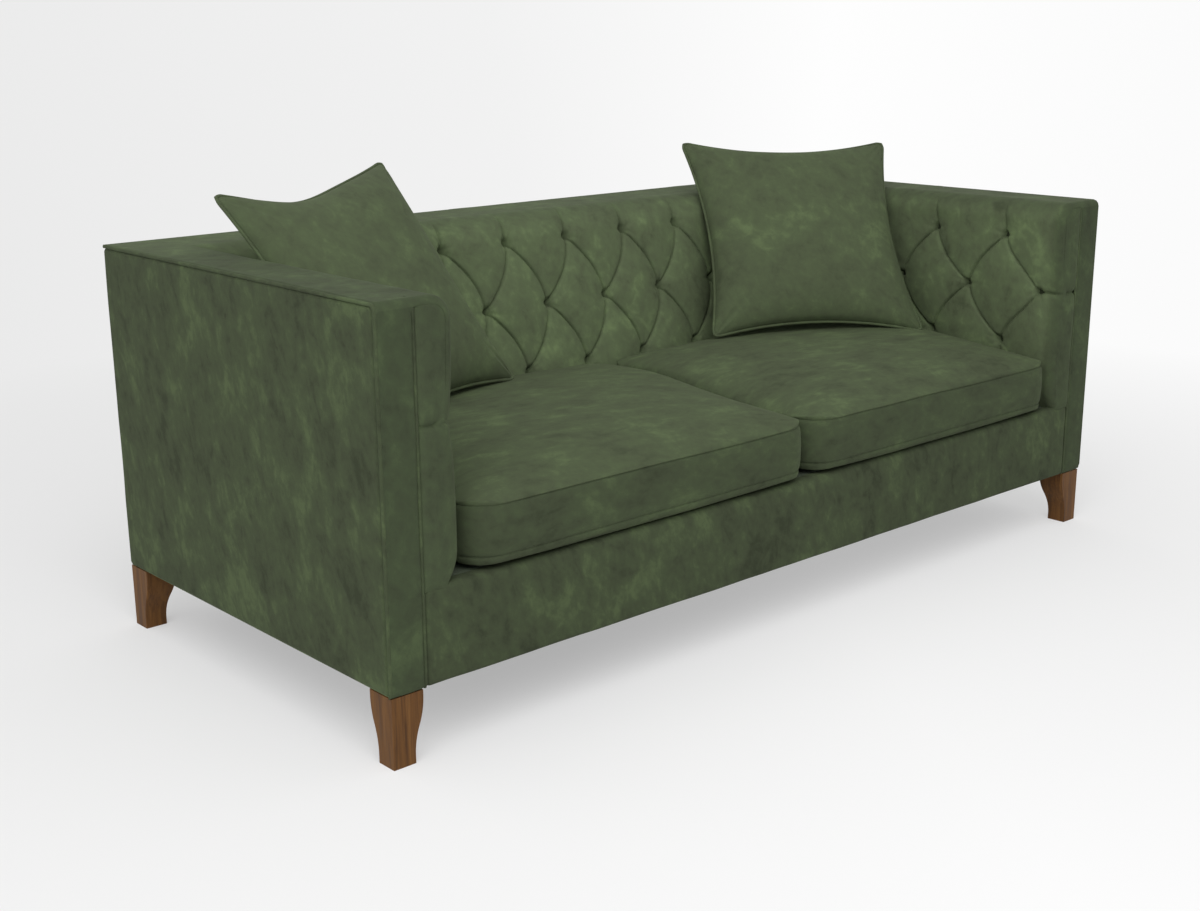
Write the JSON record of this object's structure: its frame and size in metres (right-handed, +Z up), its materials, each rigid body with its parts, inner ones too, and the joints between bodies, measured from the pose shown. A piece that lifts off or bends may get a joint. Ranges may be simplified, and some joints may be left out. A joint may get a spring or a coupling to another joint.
{
  "type": "three-seater sofa",
  "caption": "Deep-buttoned velvet sofa with square track arms level with the back, loose seat cushions, leaning scatter cushions and short wooden legs",
  "frame": {"origin": "on the floor under the middle of the sofa's box", "axes": "+X to the right seen from the front, the front faces -Y, +Z up"},
  "size_m": [2.1, 0.967, 0.9258],
  "materials": {
    "velvet": "brushed green velvet with a soft mottled pile",
    "leg_wood": "brown stained hardwood, satin",
    "frame_timber": "bare sawn timber",
    "steel": "plain spring steel and zinc",
    "hessian": "woven hessian",
    "deck_cloth": "plain green platform cloth over felt",
    "webbing": "black woven webbing",
    "twine": "waxed button twine",
    "base_cloth": "black non-woven base cloth",
    "foam": "cut foam and fibre filling"
  },
  "bodies": {
    "sofa_body": {"arm_buttons_left": "velvet", "arm_buttons_right": "velvet", "arm_front_post_left": "frame_timber", "arm_front_post_right": "frame_timber", "arm_piping_left": "velvet", "arm_piping_right": "velvet", "arm_tack_rail_left": "frame_timber", "arm_tack_rail_right": "frame_timber", "arm_top_rail_left": "frame_timber", "arm_top_rail_right": "frame_timber", "arm_webbing_left": "webbing", "arm_webbing_right": "webbing", "back_bottom_rail": "frame_timber", "back_buttons": "velvet", "back_corner_post_left": "frame_timber", "back_corner_post_right": "frame_timber", "back_piping": "velvet", "back_tack_rail": "frame_timber", "back_top_rail": "frame_timber", "back_upright_left": "frame_timber", "back_upright_right": "frame_timber", "back_webbing": "webbing", "base_cloth": "base_cloth", "button_twines": "twine", "deck_pad": "deck_cloth", "facing_piping_left": "velvet", "facing_piping_right": "velvet", "front_border": "velvet", "front_facing_left": "velvet", "front_facing_right": "velvet", "front_seat_rail": "frame_timber", "inside_arm_left": "velvet", "inside_arm_right": "velvet", "inside_back": "velvet", "leg_back_left": "leg_wood", "leg_back_right": "leg_wood", "leg_bolts": "steel", "leg_front_left": "leg_wood", "leg_front_right": "leg_wood", "outside_arm_left": "velvet", "outside_arm_right": "velvet", "outside_back": "velvet", "seat_back_rail": "frame_timber", "seat_brace": "frame_timber", "seat_springs": "steel", "side_rail_left": "frame_timber", "side_rail_right": "frame_timber", "spring_clips": "steel", "spring_cover": "hessian"},
    "seat_cushion_left": {"seat_cover_left": "velvet", "seat_core_left": "foam"},
    "scatter_cushion_left": {"scatter_cover_left": "velvet", "scatter_filling_left": "foam", "scatter_piping_left": "velvet"},
    "seat_cushion_right": {"seat_cover_right": "velvet", "seat_core_right": "foam"},
    "scatter_cushion_right": {"scatter_cover_right": "velvet", "scatter_filling_right": "foam", "scatter_piping_right": "velvet"}
  },
  "joints": [
    {"name": "seat_cushion_left_lift", "type": "slide", "parent": "sofa_body", "child": "seat_cushion_left", "axis": [0, 0, 1], "range_m": [0, 0.5]},
    {"name": "seat_cushion_right_lift", "type": "slide", "parent": "sofa_body", "child": "seat_cushion_right", "axis": [0, 0, 1], "range_m": [0, 0.5]},
    {"name": "scatter_cushion_left_lift", "type": "slide", "parent": "seat_cushion_left", "child": "scatter_cushion_left", "axis": [0, 0, 1], "range_m": [0, 0.4]},
    {"name": "scatter_cushion_right_lift", "type": "slide", "parent": "seat_cushion_right", "child": "scatter_cushion_right", "axis": [0, 0, 1], "range_m": [0, 0.4]}
  ]
}
